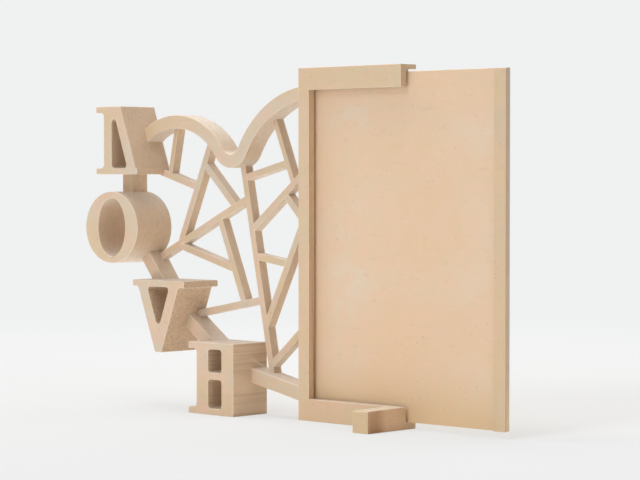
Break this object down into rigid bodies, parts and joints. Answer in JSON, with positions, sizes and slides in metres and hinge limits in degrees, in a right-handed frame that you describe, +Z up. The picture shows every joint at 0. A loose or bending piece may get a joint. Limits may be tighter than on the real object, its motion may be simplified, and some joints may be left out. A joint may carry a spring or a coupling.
{
  "type": "heart shaped photo frame",
  "caption": "Free-standing wooden photo frame: half an openwork heart with a bar lattice beside a C-shaped bracket that holds a sliding panel for one upright print.",
  "frame": {"origin": "on the table, under the middle of the overall box", "axes": "+X to the right along the frame, +Y to its flat back, +Z up"},
  "size_m": [0.2504, 0.0318, 0.1607],
  "materials": {
    "pale_wood": "unfinished pale wood, matt, smooth faces and slightly rough cut sides",
    "panel_board": "thin smooth wood board, matt"
  },
  "bodies": {
    "frame": {"bracket_bottom_rail": "pale_wood", "bracket_stile": "pale_wood", "bracket_top_rail": "pale_wood", "front_foot": "pale_wood", "ladder_block": "pale_wood", "lattice_bar_cleft": "pale_wood", "lattice_bar_foot_rise": "pale_wood", "lattice_bar_lobe": "pale_wood", "lattice_bar_lobe_brace": "pale_wood", "lattice_bar_long": "pale_wood", "lattice_bar_lower_brace": "pale_wood", "lattice_bar_lower_rise": "pale_wood", "lattice_bar_middle_brace": "pale_wood", "lattice_bar_middle_drop": "pale_wood", "lattice_bar_right_brace": "pale_wood", "lattice_bar_right_lobe": "pale_wood", "lattice_bar_slope": "pale_wood", "lattice_bar_slope_prop": "pale_wood", "lattice_bar_stile_fall": "pale_wood", "lattice_bar_stile_rise": "pale_wood", "lattice_bar_wedge": "pale_wood", "rim_link_lower": "pale_wood", "rim_link_middle": "pale_wood", "rim_link_upper": "pale_wood", "rim_tip": "pale_wood", "rim_top": "pale_wood", "ring_block": "pale_wood", "slope_block": "pale_wood", "wedge_block": "pale_wood"},
    "panel": {"back_panel": "panel_board", "photo_stop": "pale_wood"}
  },
  "joints": [
    {"name": "panel_slide", "type": "slide", "parent": "frame", "child": "panel", "axis": [1, 0, 0], "range_m": [0, 0.05]}
  ]
}
